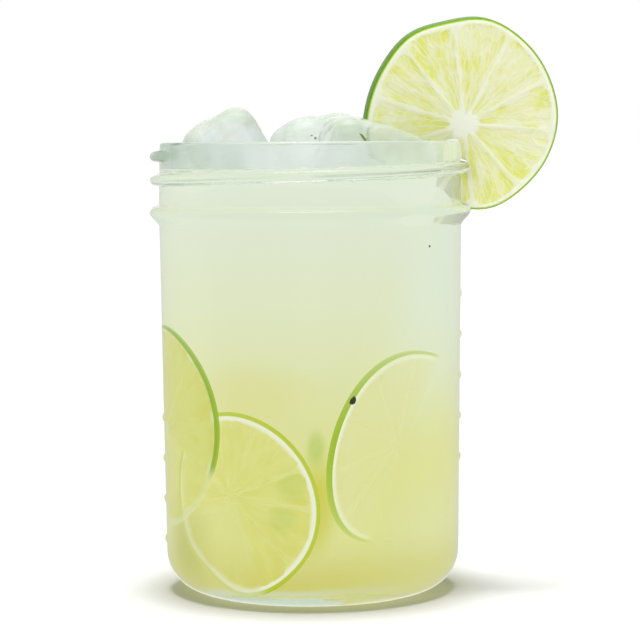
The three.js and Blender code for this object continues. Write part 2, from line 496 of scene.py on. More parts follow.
@dataclass
class Jar:
    """The pressed glass jar, with its screw thread, bead and raised bars."""

    rim_height: float = 121.0
    rim_radius: float = 40.4
    lip_rounding: float = 0.9
    neck_radius: float = 40.8
    shoulder_radius: float = 40.7
    shoulder_height: float = 96.0
    foot_radius: float = 39.7
    heel_rounding: float = 11.0
    ring_inner_radius: float = 25.0
    recess_radius: float = 23.5
    recess_depth: float = 0.6
    base_thickness: float = 4.0
    wall: float = 2.8
    neck_bore: float = 37.1
    inner_heel_rounding: float = 7.0
    wet_height: float = 114.1
    bead: tuple[tuple[float, float], ...] = (
        (40.8, 98.6), (41.35, 99.35), (42.1, 100.2), (42.75, 100.95), (43.15, 101.5), (43.3, 101.9),
        (43.3, 102.3), (43.2, 102.75), (42.9, 103.2), (42.4, 103.6), (41.8, 103.9), (41.2, 104.2),
        (40.8, 104.5),
    )
    thread_radius: float = 43.1
    thread_section: float = 1.45
    thread_pitch: float = 6.35
    thread_left_height: float = 110.8
    thread_start: float = -140.0
    thread_end: float = 295.0
    thread_run_out: float = 14.0
    neck_row: float = 0.25
    bar_length: float = 13.0
    bar_width: float = 2.4
    bar_rise: float = 0.4
    bar_spacing: float = 11.0
    bars: tuple[LevelBars, ...] = (LevelBars(Side.LEFT, 14.0, 4), LevelBars(Side.RIGHT, 36.0, 5))
    around: int = 256
    finish: GlassFinish = field(default_factory=GlassFinish)

    def wall_radius(self, height: float) -> float:
        """The body's outer radius at a height."""
        share = (height - self.heel_rounding) / (self.shoulder_height - self.heel_rounding)
        return self.foot_radius + share * (self.shoulder_radius - self.foot_radius)

    def body_rows(self) -> Profile:
        """Rows up the outer wall, close together where a bar crosses it."""
        heights = set(np.arange(18.0, self.shoulder_height, 5.5))
        half = self.bar_width / 2
        for bars in self.bars:
            for i in range(bars.count):
                middle = bars.lowest + i * self.bar_spacing
                heights.update(middle + half * part for part in np.linspace(-1.2, 1.2, 13))
        return [(self.wall_radius(height), float(height)) for height in sorted(heights)]

    def outside(self) -> Profile:
        """The outer profile, from the middle of the base to the top of the lip."""
        heel = corner(self.foot_radius - self.heel_rounding, self.heel_rounding,
                      self.heel_rounding, -90, 0, 14)
        neck_top = self.rim_height - self.lip_rounding
        rows = np.arange(self.bead[-1][1] + self.neck_row, neck_top, self.neck_row)
        rise = (self.rim_radius - self.neck_radius) / (neck_top - self.bead[-1][1])
        neck = [(self.neck_radius + rise * (row - self.bead[-1][1]), float(row)) for row in rows]
        lip = corner(self.rim_radius - self.lip_rounding, neck_top, self.lip_rounding, 0, 90, 6)
        return [(0.0, self.recess_depth), (self.recess_radius, self.recess_depth),
                (self.recess_radius + 0.7, self.recess_depth * 0.4), (self.ring_inner_radius, 0.0),
                *heel, *self.body_rows(), (self.shoulder_radius, self.shoulder_height),
                *self.bead, *neck, *lip]

    def inside(self, shrink: float, top: float) -> Profile:
        """The inner profile, from the middle of the floor up.

        Args:
            shrink: how far every wall moves inwards.
            top: the height at which it ends, at or below the rim.

        Returns:
            The points, without the way back to the axis.
        """
        bore = self.foot_radius - self.wall - shrink
        floor = self.base_thickness + shrink
        rounding = self.inner_heel_rounding
        profile = [(0.0, floor), *corner(bore - rounding, floor + rounding, rounding, -90, 0, 14)]
        lower = (self.shoulder_radius - self.wall - shrink, self.shoulder_height - 4)
        upper = (self.neck_bore - shrink, self.shoulder_height + 5)
        start = profile[-1]
        for i in range(1, 9):
            profile.append((start[0] + (lower[0] - start[0]) * i / 8,
                            start[1] + (lower[1] - start[1]) * i / 8))
        for i in range(1, 7):
            share = i / 6
            soft = share * share * (3 - 2 * share)
            profile.append((lower[0] + (upper[0] - lower[0]) * soft,
                            lower[1] + (upper[1] - lower[1]) * share))
        if top < self.rim_height:
            return [*profile, (upper[0], top)]
        edge = self.lip_rounding
        return [*profile, (upper[0], self.wet_height), (upper[0], self.rim_height - edge),
                *corner(upper[0] + edge, self.rim_height - edge, edge, 180, 90, 6)[1:]]

    def with_thread(self, points: np.ndarray, growth: float) -> np.ndarray:
        """Raises the screw thread out of the neck.

        Args:
            points: vertices in millimetres.
            growth: how much thicker the thread is made.

        Returns:
            The moved vertices.
        """
        radius = np.hypot(points[:, 0], points[:, 1])
        height = points[:, 2]
        angle = np.degrees(np.arctan2(points[:, 1], points[:, 0])) + 90
        neck = (radius > self.rim_radius - 0.35) & (height > self.bead[-1][1])
        raised = radius.copy()
        section = self.thread_section + growth
        for lap in (-1, 0, 1):
            turn = angle + 360 * lap
            from_end = np.minimum(turn - self.thread_start, self.thread_end - turn)
            sunk = np.clip(1 - from_end / self.thread_run_out, 0, 1) ** 2
            middle = self.thread_left_height + self.thread_pitch * (turn + 90) / 360
            off = np.abs(height - middle)
            crest = self.thread_radius + growth - section
            crest = crest - sunk * (self.thread_radius - self.neck_radius + growth + 0.15)
            ridge = crest + np.sqrt(np.clip(section ** 2 - off ** 2, 0, None))
            share = eased((section + 0.35 - off) / 0.5)
            grown = radius + share * np.clip(ridge - radius, 0, None)
            raised = np.where(neck & (from_end > 0), np.maximum(raised, grown), raised)
        return self.at_radius(points, radius, raised)

    def with_bars(self, points: np.ndarray) -> np.ndarray:
        """Raises the short bars out of both sides."""
        radius = np.hypot(points[:, 0], points[:, 1])
        height = points[:, 2]
        raised = radius.copy()
        outer = radius > self.foot_radius - 0.5
        for bars in self.bars:
            along = np.abs(points[:, 1])
            facing = outer & (points[:, 0] * bars.side.value > 0)
            end = eased((self.bar_length / 2 - along) / 1.2)
            for i in range(bars.count):
                off = np.abs(height - bars.lowest - i * self.bar_spacing)
                flank = eased((self.bar_width / 2 - off) / (self.bar_width * 0.4))
                raised = np.where(facing, np.maximum(raised, radius + self.bar_rise * flank * end), raised)
        return self.at_radius(points, radius, raised)

    @staticmethod
    def at_radius(points: np.ndarray, old: np.ndarray, new: np.ndarray) -> np.ndarray:
        """Moves vertices in or out to new radii."""
        share = np.divide(new, old, out=np.ones_like(old), where=old > 1e-6)
        moved = points.copy()
        moved[:, 0] *= share
        moved[:, 1] *= share
        return moved

    def is_wetted(self, middles: np.ndarray, normals: np.ndarray) -> np.ndarray:
        """Tells which faces are inner ones below the drink's edge."""
        inwards = (normals[:, :2] * middles[:, :2]).sum(axis=1) < 0
        inside = np.hypot(middles[:, 0], middles[:, 1]) < self.neck_bore + 1.0
        floor = (normals[:, 2] > 0.3) & (middles[:, 2] < self.base_thickness + self.inner_heel_rounding)
        return inside & (middles[:, 2] < self.wet_height) & (inwards | floor) & (normals[:, 2] > -0.3)

    def slot_cutter(self, growth: float) -> bpy.types.Object:
        """A ring as thick as the upper wall and its thread, for the slit in the lime wheel."""
        foot = self.shoulder_height - 2
        outer = [(r + growth, h + (growth if h > self.rim_height - self.lip_rounding else 0))
                 for r, h in self.outside() if h > foot]
        inner = [(r, h + (growth if h > self.rim_height - self.lip_rounding else 0))
                 for r, h in self.inside(growth, self.rim_height) if h > foot]
        cutter = spun("slot_cutter", [*outer, *reversed(inner)], 160, closed=True)
        put_points(cutter, self.with_thread(points_of(cutter), growth))
        return cutter

    def build(self) -> bpy.types.Object:
        """Makes the jar."""
        profile = [*self.outside(), *reversed(self.inside(0.0, self.rim_height))]
        jar = spun("jar_glass_body", profile, self.around)
        put_points(jar, self.with_bars(self.with_thread(points_of(jar), 0.0)))
        mark_faces(jar, "wetted", self.is_wetted)
        smoothed(jar)
        dress(jar, self.finish.material())
        hand_over(jar, "jar_glass", "jar")
        return jar


@dataclass(frozen=True)
class CutLimeFinish:
    """Wet cut lime: pulp in sacs, pale membranes and pith, green zest, with a share of painted glow."""

    name: str = "cut_lime"
    pulp_pale: Colour = tone(241, 243, 198)
    pulp_deep: Colour = tone(230, 234, 116)
    membrane: Colour = tone(246, 249, 230)
    zest_cut: Colour = tone(170, 204, 40)
    zest_side: Colour = tone(58, 122, 20)
    zest_worn: Colour = tone(200, 214, 120)
    glow: float = 0.35
    # lit: the share of the colour that is painted glow, emitted in place of lamp light
    lit: float = 0.2
    pulp_alpha: float = 1.0
    worn_alpha: float = 1.0
    membrane_share: float = 0.6
    sac_share: float = 0.35
    core: float = 3.4
    zest_depth: float = 0.62
    pith_fades: tuple[float, float] = (1.0, 2.2)
    peel_roughness: float = 0.38
    cut_roughness: float = 0.24

    @staticmethod
    def pattern() -> bpy.types.NodeTree:
        """The shared effect of pulp, membranes, pith and zest.

        It reads the wheel's flesh, rind, ray and green attributes.

        Returns:
            The node group, built the first time.
        """
        name = "cut_lime_pattern"
        if name in bpy.data.node_groups:
            return bpy.data.node_groups[name]
        nodes, given, made = shared_effect(
            name, ("Pulp Pale", "Pulp Deep", "Membrane", "Zest Cut", "Zest Side", "Zest Worn"),
            ("Membrane Share", "Sac Share", "Core", "Zest Depth", "Pith Ends", "Pith Gone"),
            {"Colour": "Color", "Relief": "Float", "Cut": "Float", "Pulp": "Float"})
        get = given.outputs
        flesh, rind = (nodes.attribute(part).outputs["Fac"] for part in ("flesh", "rind"))
        ray = nodes.attribute("ray").outputs["Vector"]
        sacs = nodes.add("TexVoronoi", feature="DISTANCE_TO_EDGE")
        nodes.feed(sacs.inputs["Vector"], nodes.scaled(ray, (15.0, 15.0, 0.20)))
        nodes.feed(sacs.inputs["Scale"], 1.0)
        seam = nodes.step(sacs.outputs["Distance"], 0.0, 0.16)
        streak = nodes.noise(nodes.scaled(ray, (9.0, 9.0, 0.16)), 1.0, 3.0, 0.6)
        patch = nodes.noise(nodes.scaled(ray, (2.6, 2.6, 0.10)), 1.0, 2.0)
        depth = nodes.step(nodes.maths("ADD", streak, nodes.maths("MULTIPLY", patch, 0.8)), 0.72, 1.12)
        pulp = nodes.blend(depth, get["Pulp Pale"], get["Pulp Deep"])
        pulp = nodes.blend(nodes.maths("MULTIPLY", nodes.one_less(seam), get["Sac Share"]),
                           pulp, get["Membrane"])
        fraying = nodes.maths("MULTIPLY", nodes.maths("SUBTRACT", streak, 0.5), 0.9)
        inside = nodes.step(nodes.maths("ADD", flesh, fraying), -0.05, 0.6)
        peel = nodes.step(rind, get["Pith Ends"], get["Pith Gone"])
        outer = nodes.step(nodes.part(ray, "Z"), get["Core"], nodes.maths("ADD", get["Core"], 2.0))
        faded = nodes.maths("MULTIPLY", nodes.maths("MULTIPLY", peel, outer),
                            nodes.one_less(get["Membrane Share"]))
        cut_face = nodes.blend(nodes.maths("MAXIMUM", inside, faded), get["Membrane"], pulp)
        here = nodes.here()
        speckle = nodes.noise(here, 900.0, 2.0)
        zest = nodes.blend(nodes.step(rind, 0.05, 0.5), get["Zest Side"], get["Zest Cut"])
        zest = nodes.blend(nodes.maths("MULTIPLY", speckle, 0.35), zest, get["Zest Cut"])
        zest = nodes.blend(nodes.attribute("green").outputs["Fac"], get["Zest Worn"], zest)
        edge = nodes.step(rind, nodes.maths("SUBTRACT", get["Zest Depth"], 0.17),
                          nodes.maths("ADD", get["Zest Depth"], 0.17))
        pores = nodes.add("TexVoronoi", feature="F1")
        nodes.feed(pores.inputs["Vector"], here)
        nodes.feed(pores.inputs["Scale"], 1100.0)
        relief = nodes.maths("ADD", nodes.maths("MULTIPLY", nodes.maths("MULTIPLY", seam, inside), 0.9),
                             nodes.maths("MULTIPLY", streak, 0.5))
        relief = nodes.maths("ADD", nodes.maths("MULTIPLY", relief, edge),
                             nodes.maths("MULTIPLY", pores.outputs["Distance"], nodes.one_less(edge)))
        for result, value in (("Colour", nodes.blend(edge, zest, cut_face)), ("Relief", relief),
                              ("Cut", edge), ("Pulp", inside)):
            nodes.feed(made.inputs[result], value)
        return nodes.tree

    def material(self) -> bpy.types.Material:
        """Makes the material."""
        material, nodes, output = new_material(self.name)
        pattern = nodes.effect(
            self.pattern(), pulp_pale=self.pulp_pale, pulp_deep=self.pulp_deep, membrane=self.membrane,
            zest_cut=self.zest_cut, zest_side=self.zest_side, zest_worn=self.zest_worn,
            membrane_share=self.membrane_share, sac_share=self.sac_share, core=self.core,
            zest_depth=self.zest_depth, pith_ends=self.pith_fades[0], pith_gone=self.pith_fades[1])
        colour, cut_part = pattern.outputs["Colour"], pattern.outputs["Cut"]
        # Painted glow: the colour times lit goes out as emission, and the rest is lit by the lamps
        surface = nodes.principled({
            "Base Color": nodes.blend(1.0, colour, (1 - self.lit,) * 3 + (1,), "MULTIPLY"),
            "Roughness": nodes.step(cut_part, 0.0, 1.0, self.peel_roughness, self.cut_roughness),
            "IOR": 1.38, "Subsurface Weight": self.glow, "Subsurface Radius": (1.0, 1.0, 0.45),
            "Subsurface Scale": 0.0025, "Emission Color": colour, "Emission Strength": self.lit,
            "Normal": nodes.bumped(pattern.outputs["Relief"], 0.35, 0.0004)})
        if self.pulp_alpha < 1:
            solid = nodes.step(nodes.attribute("green").outputs["Fac"], 0.0, 1.0, self.worn_alpha, 1.0)
            flesh = nodes.maths("MULTIPLY", pattern.outputs["Pulp"], cut_part)
            pulpy = nodes.step(flesh, 0.0, 1.0, 1.0, self.pulp_alpha)
            nodes.feed(surface.inputs["Alpha"], nodes.maths("MULTIPLY", solid, pulpy))
        nodes.feed(output.inputs["Surface"], surface.outputs[0])
        return material


@dataclass
class LimeWheel:
    """A wheel of lime, modelled flat: x to the right and y up in its face, z out of its front face."""

    name: str
    radius: float
    thickness: float
    membranes: tuple[float, ...]
    finish: CutLimeFinish
    hub: tuple[float, float] = (0.0, 0.0)
    hub_radius: float = 2.6
    membrane_width: float = 0.55
    pith: float = 1.5
    rounding: float = 0.7
    waves: tuple[tuple[float, int, float], ...] = ()
    flat_foot: tuple[float, float] = (0.0, 0.0)
    worn: tuple[float, float] = (0.0, 0.0)
    columns: int = 22
    seed: int = 1

    def outline(self, angle: np.ndarray) -> np.ndarray:
        """The outline's radius at angles in radians."""
        share = np.ones_like(angle)
        for size, times, phase in self.waves:
            share = share + size * np.cos(times * angle - math.radians(phase))
        depth, foot = self.flat_foot
        return self.radius * (share - depth * np.clip(np.cos(angle - math.radians(foot)), 0, None) ** 14)

    def column_angles(self) -> np.ndarray:
        """Angles at the hub of the mesh's columns, with one on each membrane."""
        starts = sorted(self.membranes)
        ends = [*starts[1:], starts[0] + 360]
        spread = [np.linspace(a, b, self.columns, endpoint=False) for a, b in zip(starts, ends)]
        return np.radians(np.concatenate(spread))

    def reach(self, angle: np.ndarray) -> np.ndarray:
        """Distance from the hub to the outline at angles measured at the hub."""
        far = np.full_like(angle, self.radius)
        for _ in range(12):
            x = self.hub[0] + far * np.cos(angle)
            y = self.hub[1] + far * np.sin(angle)
            far = far + self.outline(np.arctan2(y, x)) - np.hypot(x, y)
        return far

    def waver(self, angle: np.ndarray, radius: np.ndarray, lane: int) -> np.ndarray:
        """A seeded, smooth and uneven value from -1 to 1 over the face."""
        dice = np.random.default_rng(self.seed * 100 + lane)
        total = np.zeros_like(angle)
        for times in (2, 3, 5, 8, 13):
            total += np.sin(times * angle + dice.uniform(0, math.tau)
                            + radius * dice.uniform(-0.35, 0.35)) / 2.6
        return np.clip(total, -1, 1)

    def flesh(self, x: np.ndarray, y: np.ndarray) -> tuple[np.ndarray, np.ndarray, np.ndarray]:
        """Reads the cut face's pattern.

        Args:
            x: places to the right in the face, in millimetres.
            y: places up in the face.

        Returns:
            The distance into the pulp, the distance from the rind's edge, and the angle at the hub.
        """
        from_hub = np.hypot(x - self.hub[0], y - self.hub[1])
        angle = np.arctan2(y - self.hub[1], x - self.hub[0])
        rind = self.outline(np.arctan2(y, x)) - np.hypot(x, y)
        turns = np.radians(np.array(self.membranes))
        off = np.abs((angle[:, None] - turns[None, :] + math.pi) % math.tau - math.pi).min(axis=1)
        width = self.membrane_width * (0.55 + 0.35 * self.waver(angle, from_hub, 1)
                                       + 0.5 * eased(1 - from_hub / (self.radius * 0.5)))
        to_membrane = from_hub * np.sin(np.minimum(off, math.pi / 2)) - width / 2
        to_pith = rind - self.pith * (1 + 0.22 * self.waver(angle, from_hub * 0, 2))
        core = self.hub_radius * (1 + 0.28 * self.waver(angle, from_hub * 0, 3))
        sac = smooth_least(to_membrane, to_pith, 2.6)
        return smooth_least(sac, from_hub - core, 0.9), rind, angle

    def profile(self) -> Profile:
        """The wheel's section, from the middle of its front to the middle of its back."""
        half = self.thickness / 2
        inner = self.radius - self.rounding
        rows = [*np.linspace(0, inner - 3.2, 18), *np.linspace(inner - 3.2, inner, 10)[1:]]
        front = [(float(row), half) for row in rows]
        edge = corner(inner, half - self.rounding, self.rounding, 90, 0, 5)[1:]
        side = [(self.radius, 0.0)] if half > self.rounding * 1.3 else []
        back = [(row, -height) for row, height in reversed([*front, *edge])]
        return [*front, *edge, *side, *back]

    def flat_mesh(self) -> bpy.types.Object:
        """Makes the flat wheel, centred, with its outline, sacs and membranes in relief."""
        angles = self.column_angles()
        wheel = spun(self.name, self.profile(), len(angles))
        points = points_of(wheel)
        radius = np.hypot(points[:, 0], points[:, 1])
        column = np.round(np.arctan2(points[:, 1], points[:, 0]) / math.tau * len(angles)).astype(int)
        angle = angles[column % len(angles)]
        far = self.reach(angle) * radius / self.radius
        x = self.hub[0] + far * np.cos(angle)
        y = self.hub[1] + far * np.sin(angle)
        into, rind, _ = self.flesh(x, y)
        face = np.abs(points[:, 2]) > self.thickness / 2 - 0.01
        swell = 0.22 * eased(into / 1.6) - 0.16 * eased((0.1 - into) / 0.5) * eased(rind / 1.2)
        swell += 0.07 * self.waver(angle * 7, far * 0.6, 4) * eased(into / 1.0)
        height = points[:, 2] + np.sign(points[:, 2]) * np.where(face, swell - 0.22, 0)
        put_points(wheel, np.column_stack((x, y, height)))
        return wheel

    def plain_disc(self, growth: float) -> bpy.types.Object:
        """The wheel's plain form, grown by an amount, to cut the drink with."""
        half = self.thickness / 2 + growth
        section = [(0.0, half), (self.radius, half), (self.radius, -half), (0.0, -half)]
        disc = spun("disc_cutter", section, 120)
        points = points_of(disc)
        angle = np.arctan2(points[:, 1], points[:, 0])
        share = np.hypot(points[:, 0], points[:, 1]) / self.radius
        reach = share * (self.outline(angle) + growth)
        put_points(disc, np.column_stack((reach * np.cos(angle), reach * np.sin(angle), points[:, 2])))
        return disc

    def mark(self, wheel: bpy.types.Object, flat: np.ndarray) -> None:
        """Writes the pattern onto the mesh.

        Args:
            wheel: the wheel's object.
            flat: each vertex's place in the flat wheel, in millimetres.
        """
        into, rind, angle = self.flesh(flat[:, 0], flat[:, 1])
        from_hub = np.hypot(flat[:, 0] - self.hub[0], flat[:, 1] - self.hub[1])
        ray = np.column_stack((np.cos(angle), np.sin(angle), from_hub))
        middle, half = (math.radians(part) for part in self.worn)
        off = np.abs((np.arctan2(flat[:, 1], flat[:, 0]) - middle + math.pi) % math.tau - math.pi)
        green = eased((off - half) / math.radians(14)) if half > 0 else np.ones_like(off)
        data = wheel.data
        for name, values in (("flesh", into), ("rind", rind), ("green", green)):
            layer = data.attributes.new(name, "FLOAT", "POINT")
            layer.data.foreach_set("value", values.astype(np.float32))
        layer = data.attributes.new("ray", "FLOAT_VECTOR", "POINT")
        layer.data.foreach_set("vector", ray.astype(np.float32).ravel())


def placed(piece: bpy.types.Object, place: Matrix) -> None:
    """Puts a piece at a place and moves that place into its mesh."""
    activate(piece)
    piece.matrix_world = place
    bpy.ops.object.transform_apply(location=True, rotation=True, scale=True)


@dataclass
class RimWheel:
    """The lime wheel that stands astride the rim, slit from below."""

    centre: tuple[float, float, float] = (40.6, 0.0, 127.6)
    yaw: float = 9.0
    tilt: float = 8.0
    slit_play: float = 0.3
    wheel: LimeWheel = field(default_factory=lambda: LimeWheel(
        name="lime_wheel_on_rim", radius=26.4, thickness=5.0,
        membranes=(28, 63, 97, 129, 163, 197, 233, 278, 313, 356),
        finish=CutLimeFinish(), hub=(0.5, -2.0), hub_radius=3.3,
        waves=((0.0125, 1, -67), (0.01, 2, 109), (0.0097, 3, -92), (0.0055, 5, -38), (0.0081, 6, 30),
               (0.0069, 7, -139), (0.0038, 8, 165), (0.0049, 9, 13)),
        flat_foot=(0.05, 268), seed=4))

    def place(self) -> Matrix:
        """Where the wheel stands, in metres."""
        return (Matrix.Translation(Vector(self.centre) * MM)
                @ Matrix.Rotation(math.radians(self.yaw), 4, "Z")
                @ Matrix.Rotation(math.radians(90 + self.tilt), 4, "X"))

    def cutter(self, growth: float) -> bpy.types.Object:
        """The wheel's plain form in its place."""
        disc = self.wheel.plain_disc(growth)
        placed(disc, self.place())
        return disc

    def build(self, jar: Jar) -> bpy.types.Object:
        """Makes the wheel and slits it for the jar's wall."""
        wheel = self.wheel.flat_mesh()
        placed(wheel, self.place())
        cut(wheel, [jar.slot_cutter(self.slit_play)])
        back = np.array(self.place().inverted())
        flat = points_of(wheel) @ back[:3, :3].T + back[:3, 3] / MM
        self.wheel.mark(wheel, flat)
        smoothed(wheel, 40)
        dress(wheel, self.wheel.finish.material())
        hand_over(wheel, "lime", "lime_wheel_rim")
        return wheel


class Lie(Enum):
    """How a sunken wheel lies in the jar."""

    FLAT = "flat"
    ALONG_WALL = "along_wall"


@dataclass
class SunkenWheel:
    """A lime wheel under the surface, placed by where its outer face points."""

    wheel: LimeWheel
    bearing: float
    lean: float
    out: float
    across: float
    height: float
    lie: Lie = Lie.FLAT

    def place(self) -> Matrix:
        """Where a flat wheel's middle stands, in metres."""
        bearing, lean = math.radians(self.bearing), math.radians(self.lean)
        out = Vector((math.sin(bearing), -math.cos(bearing), 0))
        side = Vector((math.cos(bearing), math.sin(bearing), 0))
        rise = Vector((0, 0, 1))
        normal = out * math.cos(lean) - rise * math.sin(lean)
        upward = out * math.sin(lean) + rise * math.cos(lean)
        centre = out * self.out + side * self.across + rise * self.height
        centre -= normal * self.wheel.thickness / 2
        turn = Matrix((side, upward, normal)).transposed().to_4x4()
        return Matrix.Translation(centre * MM) @ turn

    def bent(self, flat: np.ndarray) -> np.ndarray:
        """Bends a flat wheel round the jar's axis, with its front face at the outer radius."""
        radius = self.out + flat[:, 2] - self.wheel.thickness / 2
        bearing = math.radians(self.bearing) + (flat[:, 0] + self.across) / self.out
        height = flat[:, 1] + self.height
        return np.column_stack((radius * np.sin(bearing), -radius * np.cos(bearing), height))

    def build(self) -> bpy.types.Object:
        """Makes the wheel in its place."""
        piece = self.wheel.flat_mesh()
        flat = points_of(piece)
        self.wheel.mark(piece, flat)
        if self.lie is Lie.FLAT:
            placed(piece, self.place())
        else:
            put_points(piece, self.bent(flat))
        smoothed(piece, 40)
        dress(piece, self.wheel.finish.material())
        hand_over(piece, "lime")
        return piece


@dataclass(frozen=True)
class IceFinish:
    """Wet, cloudy ice."""

    body: Colour = tone(240, 242, 246)
    cloud: Colour = tone(220, 230, 214)
    transmission: float = 0.7
    # light: a painted glow, emission of the ice's own colour
    light: float = 0.07
    lamp_tint: Colour = (0.7, 0.74, 0.7, 1.0)
    surface_of_drink: float = 0.1132

    def material(self, drink: "DrinkFinish") -> bpy.types.Material:
        """Makes the material; below the drink's surface it is a painted glow in the drink's colour."""
        material, nodes, output = new_material("wet_cloudy_ice")
        here = nodes.here()
        cloud = nodes.noise(here, 90.0, 3.0, 0.55, 0.6)
        veil = nodes.noise(nodes.scaled(here, (1.0, 1.0, 2.4)), 260.0, 2.0)
        colour = nodes.blend(nodes.step(cloud, 0.35, 0.65), self.body, self.cloud)
        relief = nodes.maths("ADD", cloud, nodes.maths("MULTIPLY", veil, 0.4))
        # Painted glow: the ice emits a little of its own colour
        surface = nodes.principled({
            "Base Color": colour, "Roughness": nodes.step(veil, 0.3, 0.7, 0.06, 0.2), "IOR": 1.31,
            "Transmission Weight": self.transmission, "Emission Color": colour,
            "Emission Strength": self.light, "Normal": nodes.bumped(relief, 0.5, 0.0015)})
        clear = let_lamps_through(nodes, surface.outputs[0], self.lamp_tint)
        # Below the drink's surface the ice is a painted glow in the drink's painted colour, standing in for
        # the drink seen through it
        milky = nodes.add("Emission")
        nodes.feed(milky.inputs["Color"], drink.shade(nodes))
        sunk = nodes.add("MixShader")
        nodes.feed(sunk.inputs[0], nodes.step(nodes.part(here, "Z"), self.surface_of_drink - 0.002,
                                              self.surface_of_drink))
        nodes.feed(sunk.inputs[1], milky.outputs[0])
        nodes.feed(sunk.inputs[2], clear)
        nodes.feed(output.inputs["Surface"], sunk.outputs[0])
        return material


@dataclass
class IceLump:
    """A melted lump of ice: a rounded box with soft hollows."""

    name: str
    node: str
    centre: tuple[float, float, float]
    half: tuple[float, float, float]
    turn: tuple[float, float, float]
    squareness: float
    melt: float
    phase: float

    def shape(self, name: str, subdivisions: int, growth: float) -> bpy.types.Object:
        """Makes the lump's form.

        Args:
            name: the object's name.
            subdivisions: how fine its sphere is.
            growth: how far its surface moves outwards, in millimetres.

        Returns:
            The lump in its place.
        """
        deselect()
        bpy.ops.mesh.primitive_ico_sphere_add(subdivisions=subdivisions, radius=MM)
        lump = bpy.context.object
        lump.name = name
        way = points_of(lump)
        way /= np.linalg.norm(way, axis=1)[:, None]
        x, y, z = way.T
        reach = sum(np.abs(part / half) ** self.squareness
                    for part, half in zip((x, y, z), self.half)) ** (-1 / self.squareness)
        hollow = np.sin(5 * x + 3 * z + self.phase) * np.sin(4 * y - 3 * x + 2 * self.phase)
        size = reach * (1 - self.melt + self.melt * hollow) + growth
        put_points(lump, way * size[:, None])
        turn = Matrix.Identity(4)
        for axis, degrees in zip("XYZ", self.turn):
            turn = Matrix.Rotation(math.radians(degrees), 4, axis) @ turn
        placed(lump, Matrix.Translation(Vector(self.centre) * MM) @ turn)
        return lump

    def build(self, finish: bpy.types.Material) -> bpy.types.Object:
        """Makes the lump and dresses it."""
        lump = self.shape(self.name, 6, 0.0)
        smoothed(lump, 60)
        dress(lump, finish)
        hand_over(lump, "ice", self.node)
        return lump


@dataclass(frozen=True)
class Cloud:
    """A soft patch of another colour in the drink, in millimetres."""

    centre: tuple[float, float, float]
    size: tuple[float, float, float]
    colour: Colour
    share: float


